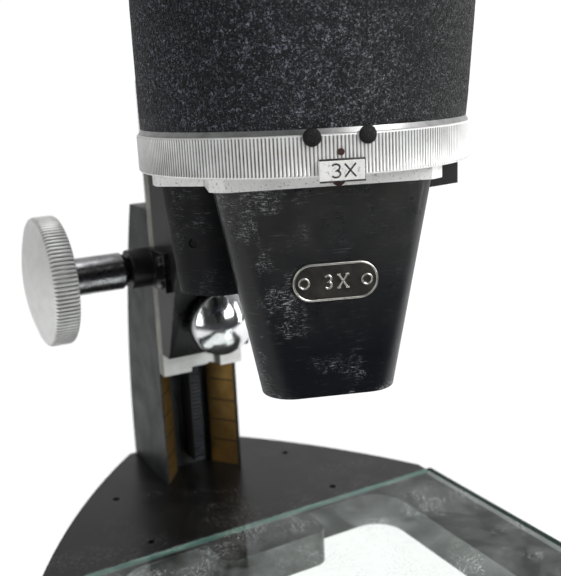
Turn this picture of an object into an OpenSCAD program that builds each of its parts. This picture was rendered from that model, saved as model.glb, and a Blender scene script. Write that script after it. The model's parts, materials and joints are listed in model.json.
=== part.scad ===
// Stereo microscope with a drum of three paired objectives, on a rack-focused stand.
// Millimetres, Z up. The origin is on the table, at the middle of the base.
// The user sits on the -Y side. The modules measure Y from the vertical axis of the drum;
// placed() moves every part to the origin. The head is drawn facing -Y and then turned.

/* [Base] */
// Width of the base casting
base_w = 184.6; // [180:0.2:190]
// Height of the base casting without its feet
base_h = 21; // [19:0.5:24]
// Height of the rubber feet
foot_h = 3; // [2:0.5:5]
// Y of the flat rear end of the base
base_rear = 154; // [154:1:160]
// Y of the front edge of the base
base_front = -124; // [-140:1:-115]
// Radius of the long side curves towards the rear
base_flank_r = 375; // [370:1:380]
// Width of the stage glass
glass_w = 190.5; // [186:0.5:194]
// Thickness of the stage glass
glass_t = 6; // [5:0.5:7]
// Y of the rear edge of the stage glass
glass_rear = 53.5; // [50:0.5:55]
// Width of the window under the glass
window_w = 132; // [120:1:140]
// Spacing of the four accessory holes along X
holes_x = 90; // [85:1:95]
// Spacing of the four accessory holes along Y
holes_y = 45.5; // [44:0.5:47]

/* [Column] */
// Width of the column
column_w = 38.6; // [38.6:0.1:39]
// Y of the front face of the column
column_front = 107; // [106.5:0.5:107]
// Height of the column above the base
column_h = 133.4; // [125:0.1:140]
// Radius of the curved back of the column
column_back_r = 335; // [320:5:360]
// Thickness of the brass way strips
strip_t = 1.5; // [1.2:0.1:1.6]

/* [Focus drive] */
// Height of the pinion axis above the table
pinion_z = 132.2; // [128:0.2:136]
// Y of the pinion axis
pinion_y = 103.8; // [103.8:0.1:104]
// Gear module
gear_m = 0.6; // [0.6:0.01:0.62]
// Pinion teeth
pinion_teeth = 30; // [29:1:30]
// Radius of the focus knobs
knob_r = 27.3; // [24:0.1:30]

/* [Head] */
// Turn of the whole head from straight ahead, in degrees
head_turn = -19.3; // [-30:0.1:30]
// Height of the top edge of the turret ring above the table
ring_top = 194.6; // [190:0.1:200]
// Radius of the knurled turret ring
ring_r = 55; // [54.5:0.1:56]
// Height of the knurled turret ring
ring_h = 11.8; // [11:0.1:13]
// Height of the tapered drum body
body_h = 44.4; // [44:0.2:60]
// How far the top of the drum body leans to the front
body_lean = 9; // [0:1:14]
// Distance of the optical axes in front of the turret axis
optic_y = 26; // [25:0.5:27]
// Angle of each optical axis to the vertical
optic_tilt = 6.5; // [6:0.1:6.5]

/* [Eyepieces] */
// Slope of the eyepiece tubes from the vertical
tube_slope = 45; // [45:1:50]
// Offset of each eyepiece tube from the axis of its prism housing
tube_offset = 11; // [9:0.5:11]
// Turn of each prism housing at rest, from closest together
spread_turn = 40; // [30:1:50]
// Length of the eyepiece tubes
tube_l = 26; // [22:1:36]

/* [Hidden] */
$fn = 96;

eps = 0.01;
run_gap = 0.05;             // radial clearance of a turning fit
black = [0.07, 0.07, 0.075];
steel = [0.72, 0.73, 0.75];
brass = [0.71, 0.53, 0.24];
glass = [0.75, 0.88, 0.84, 0.4];

// Base and column
base_mid_y = (base_rear + base_front) / 2;
base_top = foot_h + base_h;
ledge_top = base_top - glass_t;
glass_front = base_front + 2;
window_rear = 51;
window_front = -100;
window_corner_r = 14;
holes_mid_y = 85.75;
column_top = base_top + column_h;
bolt_x = 11;
bolt_y = 140;

// Cross-section of the ways: the flank runs from the outer to the inner edge
way_out_x = column_w / 2;
way_in = [9.5, column_front + 13.3];
way_dx = (way_out_x - way_in[0]) / 13.3;
strip_x = 18.3;
strip_y = way_in[1] - (strip_x - way_in[0]) / way_dx;
lip_x = 9.8;
lip_t = 1.4;
undercut_x = 13.5;
floor_y = way_in[1] + 4.9;
plate_front = 100;
plate_rear = 106;
slide_w = 39.2;
slide_bottom = 81;
slide_top = 212.6;
channel_x = 6.6;

// Rack and pinion
pinion_r = gear_m * pinion_teeth / 2;
rack_pitch_y = pinion_y + pinion_r + 0.08;
rack_w = 5;
addendum = 0.9 * gear_m;
dedendum = 1.15 * gear_m;
backlash = 0.12;
shaft_r = 2.5;

// Friction clamp knob on the front of the arm
clamp_z = 108.8;
clamp_r = 14.2;
clamp_seat_y = 85;
stud_l = 28;
stud_rear = rack_pitch_y - addendum - 7.3;

// Head levels
ring_bottom = ring_top - ring_h;
body_z = ring_top + 1.5;
body_top = body_z + body_h;
body_r1 = 53.6;
body_r2 = 53.7;
collar_z = body_top + 0.1;
collar_h = 14;
neck_r = 49.95;
neck_top = collar_z + collar_h + 0.4;
deck_t = 7;
case_z = neck_top + deck_t;
case_wall = 4;
plate_t = 4.2;
plate_bottom = ring_bottom - plate_t;
station_bottoms = [111.9, 173.4, 141.1];
station_fronts = [37, 40.8, 40];
disc_top = ring_top - 0.6;
disc_r = 52;
stem_up = 1.5;
centring_x = 2.2;
centring_z = plate_bottom + 2.1;
spindle_bottom = 178.2;
floor_t = 4;
specimen_z = base_top;

// Detent behind the station in use
detent_y = 40;
ball_r = 2.4;
ball_z = disc_top + ball_r + run_gap;
detent_bore_r = 2.6;
detent_roof = body_z + 7;

// Optical axes after the inclination prisms
bend_z = 274.6;
bend_x = (bend_z - specimen_z) * tan(optic_tilt);
seat_w = 18;
housing_r = 28.5;
housing_l = 28;
tube_r = 17;
tube_w0 = seat_w + 0.1 + housing_l;
ocular_r = 15.2;

// Half of the distance between the two optical axes at a height
function axis_x(z) = (z - specimen_z) * tan(optic_tilt);

// X of the flank of the ways at a given Y, drawn back by a clearance
function flank_x(y, gap) = way_in[0] + (way_in[1] - y) * way_dx - gap;

// Rear corners of the brass strip at its inner and outer edge
function strip_back() =
  [flank_x(way_in[1] + strip_t * 0.6, -strip_t * 1.25), way_in[1] + strip_t * 0.6];
function strip_end() = [strip_x, strip_y + strip_t * 1.25 / way_dx];

// Point of an involute on a base circle, turned by an angle
function involute(rb, roll, turn) =
  let (r = rb * sqrt(1 + roll * roll), a = roll * 180 / PI - atan(roll) + turn)
  [r * cos(a), r * sin(a)];

// ---- helpers ----

module placed() { translate([0, -base_mid_y, 0]) children(); }

module head_frame() { rotate([0, 0, head_turn]) children(); }

// Turret station: 0 is in use, 1 is to the right, 2 is behind on the left
module station(k) { rotate([0, 0, head_turn + 120 * k]) children(); }

module both_sides() { for (s = [0, 1]) mirror([s, 0, 0]) children(); }

module along_x() { rotate([0, 90, 0]) children(); }

// Children drawn with +Z towards the user
module along_front() { rotate([90, 0, 0]) children(); }

// Frame of one optical axis below the drum, origin where it crosses a height
module on_axis(side, z) {
  translate([side * axis_x(z), -optic_y, z]) rotate([0, side * optic_tilt, 0]) children();
}

// Frame of one rotating prism housing, Z along its axis towards the eye
module eye_frame(side) {
  head_frame() mirror([side < 0 ? 1 : 0, 0, 0])
    translate([bend_x, -optic_y, bend_z]) rotate([tube_slope, 0, 0])
      rotate([0, optic_tilt, 0]) children();
}

// Frame of the eyepiece tube on that housing
module tube_frame(side) {
  eye_frame(side)
    translate([-tube_offset * cos(spread_turn), tube_offset * sin(spread_turn), tube_w0])
      children();
}

module ring(r_out, r_in, h) {
  difference() {
    cylinder(r = r_out, h = h);
    translate([0, 0, -eps]) cylinder(r = r_in, h = h + 2 * eps);
  }
}

// Slotted cheese-head screw, head on top of z = 0, shank below
module screw(head_r, head_h, shank_r, shank_l) {
  difference() {
    union() {
      translate([0, 0, -shank_l]) cylinder(r = shank_r, h = shank_l);
      cylinder(r = head_r, h = head_h);
    }
    translate([-head_r, -0.4, head_h * 0.55]) cube([2 * head_r, 0.8, head_h]);
  }
}

// ---- stand ----

module base_outline() {
  corner = 12;
  flank_x0 = -241;
  flank_y0 = -112.7;
  intersection() {
    union() {
      translate([-base_w / 2, base_front + corner])
        square([base_w, base_rear - base_front - corner]);
      translate([-base_w / 2 + corner, base_front]) square([base_w - 2 * corner, 2 * corner]);
      for (s = [-1, 1]) translate([s * (base_w / 2 - corner), base_front + corner])
        circle(r = corner);
    }
    translate([flank_x0, flank_y0]) circle(r = base_flank_r, $fn = 360);
    translate([-flank_x0, flank_y0]) circle(r = base_flank_r, $fn = 360);
  }
}

module window_outline() {
  r = window_corner_r;
  w = window_w / 2;
  boss_half = 24.6;
  boss_y = 33.5;
  difference() {
    union() {
      translate([-w, window_front + r]) square([2 * w, window_rear - window_front - 2 * r]);
      translate([-w + r, window_front]) square([2 * (w - r), window_rear - window_front]);
      for (sx = [-1, 1], y = [window_front + r, window_rear - r])
        translate([sx * (w - r), y]) circle(r = r);
    }
    translate([-boss_half, boss_y + 6]) square([2 * boss_half, 40]);
    translate([-boss_half + 6, boss_y]) square([2 * boss_half - 12, 40]);
    for (sx = [-1, 1]) translate([sx * (boss_half - 6), boss_y + 6]) circle(r = 6);
  }
}

module base_casting() {
  hollow_r = 367;
  color([0.1, 0.1, 0.1]) difference() {
    union() {
      translate([0, 0, foot_h]) linear_extrude(ledge_top - foot_h) base_outline();
      translate([0, 0, foot_h]) linear_extrude(base_h) intersection() {
        base_outline();
        translate([-base_w, glass_rear + 0.1]) square([2 * base_w, 200]);
      }
    }
    translate([0, 0, -eps]) linear_extrude(base_top) window_outline();
    // Hollow underside between the window and the column
    translate([0, 0, foot_h - eps]) linear_extrude(14) intersection() {
      translate([-241, -112.7]) circle(r = hollow_r, $fn = 360);
      translate([241, -112.7]) circle(r = hollow_r, $fn = 360);
      translate([-84, 61]) square([168, 43]);
    }
    for (sx = [-1, 1], sy = [-1, 1])
      translate([sx * holes_x / 2, holes_mid_y + sy * holes_y / 2, 10])
        cylinder(r = 1.6, h = base_top);
    both_sides() translate([bolt_x, bolt_y, 0]) {
      cylinder(r = 5.3, h = base_top + 1);
      cylinder(r = 8.6, h = 13);
    }
  }
}

module rubber_feet() {
  color([0.05, 0.05, 0.05]) both_sides() for (p = [[76, -106], [34, 132]])
    translate([p[0], p[1], 0]) {
      cylinder(r1 = 8, r2 = 9, h = foot_h * 0.5);
      translate([0, 0, foot_h * 0.5]) cylinder(r = 9, h = foot_h * 0.5);
    }
}

module stage_glass() {
  color(glass) translate([-glass_w / 2, glass_front, ledge_top])
    cube([glass_w, glass_rear - glass_front, glass_t]);
}

// Half of the groove cut in the casting, brass seat and undercut included
module groove_half() {
  back = strip_back();
  polygon([
    [-eps, column_front - 1], [flank_x(column_front - 1, 0), column_front - 1],
    [strip_x, strip_y], strip_end(), back,
    [lip_x, back[1]], [lip_x, back[1] + lip_t], [undercut_x, back[1] + lip_t],
    [undercut_x, floor_y], [-eps, floor_y]
  ]);
}

module column() {
  rack_screw_seat = 129;
  color([0.2, 0.21, 0.22]) difference() {
    intersection() {
      translate([-column_w / 2, column_front, base_top])
        cube([column_w, base_rear - column_front, column_h]);
      translate([0, base_rear - column_back_r, base_top + 6]) along_x()
        cylinder(r = column_back_r, h = 100, center = true, $fn = 360);
    }
    both_sides() translate([0, 0, base_top - 1]) linear_extrude(column_h + 2) groove_half();
    both_sides() translate([bolt_x, bolt_y, base_top - eps]) cylinder(r = 5, h = 24);
    for (z = rack_screw_heights()) translate([0, rack_screw_seat, z]) {
      along_front() cylinder(r = 1.6, h = 20);
      rotate([-90, 0, 0]) cylinder(r = 3.6, h = 40);
    }
  }
}

function rack_screw_heights() = [45, 97, 146];

module column_bolts() {
  color(steel) both_sides() translate([bolt_x, bolt_y, 7]) {
    cylinder(r = 8, h = 6, $fn = 6);
    cylinder(r = 4.95, h = 36);
  }
}

// Brass liner of the right-hand flank, with its oil grooves
module way_strip() {
  pitch = 10.6;
  tilt = atan(1 / way_dx);
  color(brass) difference() {
    translate([0, 0, base_top]) linear_extrude(column_h)
      polygon([[strip_x, strip_y], way_in, strip_back(), strip_end()]);
    for (z = [base_top + 13 : pitch : column_top - 8])
      translate([(way_out_x + way_in[0]) / 2, (column_front + way_in[1]) / 2, z])
        rotate([0, 0, -tilt]) cube([13, 0.7, 0.8], center = true);
  }
}

module way_strip_right() { way_strip(); }
module way_strip_left() { mirror([1, 0, 0]) way_strip(); }

module rack() {
  pitch = PI * gear_m;
  root_y = rack_pitch_y + dedendum;
  half = pitch / 4 - backlash / 2;
  low = base_top + 6;
  count_down = floor((pinion_z - low) / pitch) - 1;
  count_up = floor((column_top - 2 - pinion_z) / pitch) - 1;
  color(steel) difference() {
    translate([-rack_w / 2, 0, 0]) rotate([90, 0, 90]) linear_extrude(rack_w) polygon(concat(
      [[root_y, column_top - 2], [floor_y, column_top - 2], [floor_y, low], [root_y, low]],
      [for (i = [-count_down : count_up]) let (z = pinion_z + i * pitch) each [
        [root_y, z - half - dedendum * tan(20)],
        [rack_pitch_y - addendum, z - half + addendum * tan(20)],
        [rack_pitch_y - addendum, z + half - addendum * tan(20)],
        [root_y, z + half + dedendum * tan(20)]
      ]]
    ));
    for (z = rack_screw_heights()) translate([0, floor_y + 1, z]) along_front()
      cylinder(r = 1.5, h = 8);
  }
}

module rack_screws() {
  color(steel) for (z = rack_screw_heights()) translate([0, 129, z]) rotate([-90, 0, 0])
    screw(3.4, 3, 1.45, 10);
}

// ---- carriage ----

module slide_half() {
  rail_out = plate_rear + 0.6;
  polygon([
    [channel_x, plate_rear - eps], [slide_w / 2 - 0.6, plate_rear - eps],
    [slide_w / 2 - 0.6, rail_out],
    [flank_x(way_in[1], 0.4), way_in[1]], [flank_x(way_in[1], 0.4), way_in[1] + 2.6],
    [undercut_x - 0.5, way_in[1] + 2.6], [undercut_x - 0.5, floor_y - 0.4],
    [channel_x, floor_y - 0.4]
  ]);
}

module slide() {
  notch_l = -6;
  notch_r = 8.5;
  color([0.85, 0.86, 0.87]) difference() {
    union() {
      translate([-slide_w / 2, plate_front, slide_bottom])
        cube([slide_w, plate_rear - plate_front, slide_top - slide_bottom]);
      both_sides() translate([0, 0, slide_bottom])
        linear_extrude(slide_top - slide_bottom) slide_half();
    }
    translate([notch_l, plate_front - 1, slide_bottom - 1])
      cube([notch_r - notch_l, plate_rear - plate_front + 0.9, 3.8]);
    translate([notch_r - 3.5, plate_front - 1, slide_bottom - 1]) cube([3.5, 7, 9]);
    translate([-5, plate_front - 1, pinion_z - 12]) cube([10, 8, 24]);
    translate([0, pinion_y, pinion_z]) along_x() cylinder(r = 3, h = 60, center = true);
    translate([0, plate_rear + 1, clamp_z]) along_front() cylinder(r = 3.55, h = 10);
    for (z = slide_screw_heights()) translate([0, plate_rear + 1, z]) along_front()
      cylinder(r = 2.1, h = 10);
  }
}

function slide_screw_heights() = [92.5, 165, 200];

module slide_screws() {
  color(steel) for (z = slide_screw_heights()) translate([0, plate_rear, z])
    rotate([-90, 0, 0]) screw(4.2, 2.4, 1.95, 14);
}

module arm() {
  side_w = 39.2;
  foot_z = 91.6;
  top = collar_z + collar_h;
  color(black) difference() {
    union() {
      translate([-side_w / 2, 0, 0]) rotate([90, 0, 90]) linear_extrude(side_w) polygon([
        [plate_front, foot_z], [92, foot_z], [58.5, 175.6], [58.5, 205], [68, 232],
        [68, collar_z], [52, collar_z], [52, top], [76, top], [88, top - 7], [96, 228],
        [plate_front, slide_top + 1]
      ]);
      translate([0, 0, collar_z]) cylinder(r = 57, h = collar_h);
    }
    translate([0, 0, collar_z - 1]) cylinder(r = neck_r + run_gap, h = collar_h + 2);
    // Pocket for the pinion and seat for the clamp knob
    translate([0, pinion_y, pinion_z]) along_x() cylinder(r = 11, h = 10, center = true);
    translate([0, clamp_seat_y, clamp_z]) along_front() cylinder(r = clamp_r + 1, h = 40);
    translate([0, plate_front + 1, clamp_z]) along_front() cylinder(r = 3.05, h = 40);
    for (z = slide_screw_heights()) translate([0, plate_front + 1, z]) along_front()
      cylinder(r = 1.95, h = 10);
    both_sides() translate([0, 88, pinion_z]) for (dz = [-5, 5]) translate([0, 0, dz])
      along_x() cylinder(r = 1.2, h = 30);
    // Threaded hole of the collar clamp
    translate([45, 0, collar_z + collar_h / 2]) along_x() cylinder(r = 3.05, h = 20);
  }
}

// Bearing for one end of the pinion shaft, screwed to the side of the arm
module bearing_plates() {
  thick = 2;
  boss_l = 11.4;
  color(black) both_sides() translate([slide_w / 2 + 0.05, 0, 0]) difference() {
    union() {
      translate([0, 84, pinion_z - 8.6]) cube([thick, pinion_y - 84, 17.2]);
      translate([0, pinion_y, pinion_z]) along_x() cylinder(r = 8.6, h = boss_l);
    }
    translate([-1, pinion_y, pinion_z]) along_x() cylinder(r = shaft_r + run_gap, h = 20);
    for (dz = [-5, 5]) translate([-1, 88, pinion_z + dz]) along_x() cylinder(r = 1.2, h = 9);
  }
}

module bearing_screws() {
  color(steel) both_sides() for (dz = [-5, 5])
    translate([slide_w / 2 + 2.05, 88, pinion_z + dz]) along_x() screw(2.2, 1.4, 1.15, 8);
}

module clamp_pad() {
  color(brass) translate([0, stud_rear + 7, clamp_z]) along_front() cylinder(r = 3.5, h = 7);
}

module clamp_stud() {
  color(steel) translate([0, stud_rear, clamp_z]) along_front() cylinder(r = 3, h = stud_l);
}

// Domed knob with a short rim on a narrow hub, bored for the stud
module clamp_knob() {
  hub_r = 7;
  hub_l = 4.2;
  dome = 5.5;
  rim = hub_l + 7;
  stud_in = stud_rear - stud_l;
  color(steel) translate([0, clamp_seat_y - 0.3, clamp_z]) along_front() difference() {
    rotate_extrude() polygon(concat(
      [[0, 0], [hub_r, 0], [hub_r, hub_l], [clamp_r - 1, hub_l], [clamp_r, hub_l + 1],
       [clamp_r, rim], [clamp_r - 0.8, rim + 0.6]],
      [for (i = [1 : 12]) let (r = (clamp_r - 0.8) * (1 - i / 12))
        [r, rim + 0.6 + dome * (1 - pow(r / (clamp_r - 0.8), 2))]]
    ));
    translate([0, 0, -eps]) cylinder(r = 3, h = clamp_seat_y - 0.3 - stud_in + eps);
  }
}

// ---- pinion body ----

module pinion_shaft() {
  color(steel) translate([0, pinion_y, pinion_z]) along_x()
    cylinder(r = shaft_r, h = 132, center = true);
}

module pinion_gear() {
  rb = pinion_r * cos(20);
  r_tip = pinion_r + addendum;
  r_root = pinion_r - dedendum;
  roll_pitch = sqrt(pow(pinion_r / rb, 2) - 1);
  roll_tip = sqrt(pow(r_tip / rb, 2) - 1);
  start = 90 / pinion_teeth - backlash * 90 / (PI * pinion_r)
    + roll_pitch * 180 / PI - atan(roll_pitch);
  steps = 4;
  step = 360 / pinion_teeth;
  outline = [for (i = [0 : pinion_teeth - 1]) let (mid = (i + 0.5) * step) each concat(
    [[r_root * cos(mid - start), r_root * sin(mid - start)]],
    [for (k = [0 : steps]) involute(rb, roll_tip * k / steps, mid - start)],
    [for (k = [steps : -1 : 0]) let (p = involute(rb, roll_tip * k / steps, -start))
      [p[0] * cos(mid) + p[1] * sin(mid), p[0] * sin(mid) - p[1] * cos(mid)]],
    [[r_root * cos(mid + start), r_root * sin(mid + start)]]
  )];
  color(steel) translate([-2.4, pinion_y, pinion_z]) rotate([90, 0, 90]) difference() {
    linear_extrude(4.8) polygon(outline);
    translate([0, 0, -1]) cylinder(r = shaft_r, h = 10);
  }
}

module knob_sleeves() {
  start = 31.2;
  end = 60.5;
  color(steel) both_sides() translate([0, pinion_y, pinion_z]) along_x()
    rotate_extrude() polygon([
      [shaft_r, start], [5.2, start], [8, start + 3.4], [8, end], [shaft_r, end]
    ]);
}

module focus_knob() {
  inner = 60.5;
  rim_in = 60;
  rim_out = 69.3;
  dome = 4.6;
  flat_r = knob_r - 1.6;
  color([0.8, 0.81, 0.82]) translate([0, pinion_y, pinion_z]) along_x() rotate_extrude()
    polygon(concat(
      [[shaft_r, inner], [10, inner], [12, rim_in], [knob_r - 1.2, rim_in],
       [knob_r, rim_in + 1.2], [knob_r, rim_out], [flat_r, rim_out + 1]],
      [for (i = [1 : 10]) let (r = flat_r * (1 - i / 10))
        [r, rim_out + 1 + dome * (1 - pow(r / flat_r, 2))]],
      [[0, 66], [shaft_r, 66]]
    ));
}

module focus_knob_right() { focus_knob(); }
module focus_knob_left() { mirror([1, 0, 0]) focus_knob(); }

// ---- head body ----

module head_clamp_screw() {
  color(steel) translate([neck_r + 0.3, 0, collar_z + collar_h / 2]) along_x()
    rotate_extrude() polygon([
      [0, 0], [3, 0], [3, 12], [5.6, 12], [5.6, 14], [6.6, 14.6], [6.6, 23], [6, 23.6],
      [0, 23.6]
    ]);
}

module drum_body() {
  wall = 4;
  color(black) head_frame() difference() {
    union() {
      hull() {
        translate([0, 0, body_z]) cylinder(r = body_r1, h = 0.1);
        translate([0, -body_lean, body_top - 0.1]) cylinder(r = body_r2, h = 0.1);
      }
      translate([0, 0, body_top - 3]) cylinder(r = 52, h = 3);
      translate([0, 0, body_top - 3]) cylinder(r = neck_r, h = neck_top - body_top + 3);
    }
    difference() {
      hull() {
        translate([0, 0, body_z + floor_t]) cylinder(r = body_r1 - wall, h = 0.1);
        translate([0, -body_lean + 2, body_top - 6]) cylinder(r = body_r2 - wall - 3, h = 0.1);
      }
      // Boss over the detent
      translate([0, detent_y, body_z]) cylinder(r = 5.5, h = detent_roof - body_z + 2);
    }
    translate([0, 0, body_top - 8]) cylinder(r = 46, h = 60);
    translate([0, 0, body_z - 1]) cylinder(r = 6, h = 20);
    for (side = [-1, 1]) on_axis(side, body_z + 2) cylinder(r = 10, h = 20, center = true);
    // Bore for the detent spring and ball
    translate([0, detent_y, body_z - 1])
      cylinder(r = detent_bore_r, h = detent_roof - body_z + 1);
    for (a = deck_screw_angles()) rotate([0, 0, a]) translate([48, 0, neck_top - 6])
      cylinder(r = 0.9, h = 10);
  }
}

function deck_screw_angles() = [45, 135, 225, 315];

module drum_band() {
  color(steel) head_frame() difference() {
    translate([0, 0, ring_top + 0.1]) rotate_extrude() polygon([
      [49, 0], [54.4, 0], [body_r1, 1.4], [49, 1.4]
    ]);
    for (s = [-1, 1]) pin_place(s) translate([0, stem_up, -6]) cylinder(r = 0.5, h = 8);
  }
}

// Middle of each of the two index pins on the front of the drum
module pin_place(side) {
  spread = 8.2;
  rotate([0, 0, side * spread]) translate([0, -ring_r - 0.1, ring_top + 0.8 - stem_up])
    along_front() children();
}

// Round-headed pins; each stem sits high in the head, where the band is
module index_pins() {
  head_r = 2.6;
  color([0.04, 0.04, 0.04]) head_frame() for (s = [-1, 1]) pin_place(s) {
    rotate_extrude() polygon(concat(
      [[0, 0], [head_r, 0]],
      [for (i = [0 : 6]) [head_r * cos(i * 15), 0.4 + 0.7 * sin(i * 15)]]
    ));
    translate([0, stem_up, -4]) cylinder(r = 0.5, h = 4.2);
  }
}

module turret_spindle() {
  color(steel) head_frame() {
    translate([0, 0, spindle_bottom])
      cylinder(r = 5.95, h = body_z + floor_t - spindle_bottom);
    translate([0, 0, body_z + floor_t]) cylinder(r = 12, h = 4);
  }
}

module spindle_nut() {
  color(steel) head_frame() translate([0, 0, spindle_bottom]) difference() {
    cylinder(r = 11, h = ring_bottom - spindle_bottom - 0.1, $fn = 6);
    translate([0, 0, -1]) cylinder(r = 5.95, h = 20);
  }
}

module head_deck() {
  color(black) head_frame() difference() {
    translate([0, -10, neck_top]) cylinder(r = 62, h = deck_t);
    for (side = [-1, 1]) on_axis(side, neck_top + 3) cylinder(r = 10, h = 30, center = true);
    for (a = deck_screw_angles()) rotate([0, 0, a]) translate([48, 0, neck_top - 1])
      cylinder(r = 1.1, h = 20);
  }
}

module head_screws() {
  color(steel) head_frame() for (a = deck_screw_angles()) rotate([0, 0, a])
    translate([48, 0, neck_top - 5]) cylinder(r = 0.85, h = deck_t + 4.5);
}

// Outline of the prism case seen from the side, and its inner space. The front slopes at
// 45 degrees, a little below the seats of the two prism housings.
module case_outline(wall) {
  top = 306;
  w = wall * 1.4;
  slope_z = 321.2 - w;
  polygon([
    [case_z + wall - slope_z, case_z + wall], [top - wall - slope_z, top - wall],
    [14 - w / 2, top - wall], [34 - w, 292 - w / 2], [38 - w, case_z + wall]
  ]);
}

module prism_case() {
  half = 58;
  wall = case_wall;
  color(black) head_frame() difference() {
    union() {
      intersection() {
        translate([-half, 0, 0]) rotate([90, 0, 90]) linear_extrude(2 * half)
          case_outline(0);
        translate([0, -10, case_z]) cylinder(r = 60, h = 60);
      }
      intersection() {
        union() {
          eye_seat(1) cylinder(r = housing_r, h = seat_w);
          eye_seat(-1) cylinder(r = housing_r, h = seat_w);
        }
        translate([-200, -200, case_z]) cube(400);
      }
    }
    intersection() {
      translate([-half + wall, 0, 0]) rotate([90, 0, 90]) linear_extrude(2 * (half - wall))
        case_outline(wall);
      translate([0, -10, case_z]) cylinder(r = 60 - wall, h = 60);
    }
    for (side = [-1, 1]) {
      eye_seat(side) cylinder(r = 20.05, h = 60);
      on_axis(side, case_z) cylinder(r = 10, h = 20, center = true);
    }
  }
}

// Frame of a prism housing inside the head frame
module eye_seat(side) {
  mirror([side < 0 ? 1 : 0, 0, 0]) translate([bend_x, -optic_y, bend_z])
    rotate([tube_slope, 0, 0]) rotate([0, optic_tilt, 0]) children();
}

// Prisms that turn the two light paths towards the eyepieces
module inclination_prisms() {
  size = 20;
  color(glass) head_frame() both_sides()
    translate([bend_x - size / 2, -optic_y, case_z + case_wall + 0.05]) rotate([90, 0, 90])
      linear_extrude(size) polygon([[-8, 0], [8, 0], [8, 12], [3, 16], [-8, 5]]);
}

module detent_ball() {
  color(steel) head_frame() translate([0, detent_y, ball_z]) sphere(r = ball_r);
}

// Coil spring that presses the detent ball down, drawn as a tube swept round a helix
module detent_spring() {
  turns = 3.5;
  steps = 20;
  sides = 8;
  coil_r = 1.9;
  wire_r = 0.3;
  // The lowest point of the wire rests on the ball, the highest under the roof of the bore
  start = ball_z + sqrt(pow(ball_r + wire_r, 2) - pow(coil_r, 2)) + eps;
  pitch = (detent_roof - wire_r - eps - start) / turns;
  rings = turns * steps;
  points = [for (i = [0 : rings], k = [0 : sides - 1])
    let (a = 360 * i / steps, b = 360 * k / sides, r = coil_r + wire_r * cos(b))
    [r * cos(a), r * sin(a), pitch * i / steps + wire_r * sin(b)]];
  skin = [for (i = [0 : rings - 1], k = [0 : sides - 1])
    [i * sides + k, i * sides + (k + 1) % sides,
     (i + 1) * sides + (k + 1) % sides, (i + 1) * sides + k]];
  ends = [[for (k = [sides - 1 : -1 : 0]) k], [for (k = [0 : sides - 1]) rings * sides + k]];
  color(steel) head_frame() translate([0, detent_y, start])
    polyhedron(points, concat(skin, ends), convexity = 10);
}

// ---- turret ----

module turret_ring() {
  color([0.8, 0.8, 0.8]) translate([0, 0, ring_bottom]) rotate_extrude() polygon([
    [disc_r, 0], [ring_r - 0.4, 0], [ring_r, 0.4], [ring_r, ring_h - 0.6],
    [ring_r - 0.6, ring_h], [disc_r, ring_h]
  ]);
}

module turret_disc() {
  color(steel) difference() {
    translate([0, 0, ring_bottom]) cylinder(r = disc_r, h = disc_top - ring_bottom);
    translate([0, 0, ring_bottom - 1]) cylinder(r = 6, h = 20);
    for (k = [0 : 2]) station(k) {
      for (side = [-1, 1]) on_axis(side, ring_bottom + 3)
        cylinder(r = 9.5, h = 30, center = true);
      translate([0, detent_y, disc_top - 1.2]) cylinder(r1 = 0.6, r2 = 2.2, h = 1.2 + eps);
      for (s = [-1, 1]) translate([s * 31, -27, ring_bottom - 1]) cylinder(r = 1.5, h = 6);
    }
  }
}

module label_plates() {
  color([0.75, 0.75, 0.75]) for (k = [0 : 2]) station(k) difference() {
    translate([-6.5, -ring_r - 1, ring_bottom - 1]) cube([13, 2, 5.5]);
    translate([0, 0, ring_bottom - 2]) cylinder(r = ring_r + eps, h = 10, $fn = 360);
  }
}

module station_dots() {
  color([0.4, 0.12, 0.08]) for (k = [0 : 2]) station(k)
    translate([0, -ring_r, ring_top - 5]) along_front() cylinder(r = 1, h = 0.35);
}

// Plate under one station: a rectangle trimmed by the drum and by the two wedge lines that
// share the drum between the stations. It can reach further down by an extra thickness.
module station_plate(extra) {
  half_w = 35.5;
  front = 41;
  reach = 60;
  apex = 0.3;
  limit = 60;
  corner_y = -apex - reach * cos(limit);
  difference() {
    translate([0, 0, plate_bottom - extra]) linear_extrude(plate_t - eps + extra)
      intersection() {
        translate([-half_w, -front]) square([2 * half_w, front]);
        difference() {
          circle(r = 51.5);
          circle(r = 12.5);
        }
        polygon([
          [0, -apex], [-reach * sin(limit), corner_y], [-reach, -reach - 14],
          [reach, -reach - 14], [reach * sin(limit), corner_y]
        ]);
      }
    for (side = [-1, 1]) on_axis(side, plate_bottom)
      cylinder(r = 9.5, h = 30, center = true);
    for (s = [-1, 1]) translate([s * 31, -27, plate_bottom - 1]) cylinder(r = 1.6, h = 10);
    translate([centring_x, -36, centring_z]) along_front() cylinder(r = 1.8, h = 10);
  }
}

// Bright plates of the 3X and 2X stations; the 1X housing has its own flange
module mount_plates() {
  color([0.88, 0.88, 0.88]) for (k = [0, 2]) station(k) station_plate(0);
}

module plate_screws() {
  color(steel) for (k = [0 : 2]) station(k) for (s = [-1, 1])
    translate([s * 31, -27, plate_bottom + 0.2]) cylinder(r = 1.45, h = plate_t + 3);
}

// Screw in the front edge of each plate, with a low round head outside
module centring_screws() {
  color([0.25, 0.1, 0.08]) for (k = [0 : 2]) station(k)
    translate([centring_x, -36, centring_z]) along_front() {
      cylinder(r = 1.75, h = 6.2);
      translate([0, 0, 5.05]) cylinder(r = 2.05, h = 1.15);
    }
}

// Rounded rectangle that a housing section follows: half width, front and rear distance
module section(half_w, front, rear, r) {
  for (sx = [-1, 1], y = [-front + r, -rear - r])
    translate([sx * (half_w - r), y, 0]) cylinder(r = r, h = 0.1, $fn = 48);
}

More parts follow.
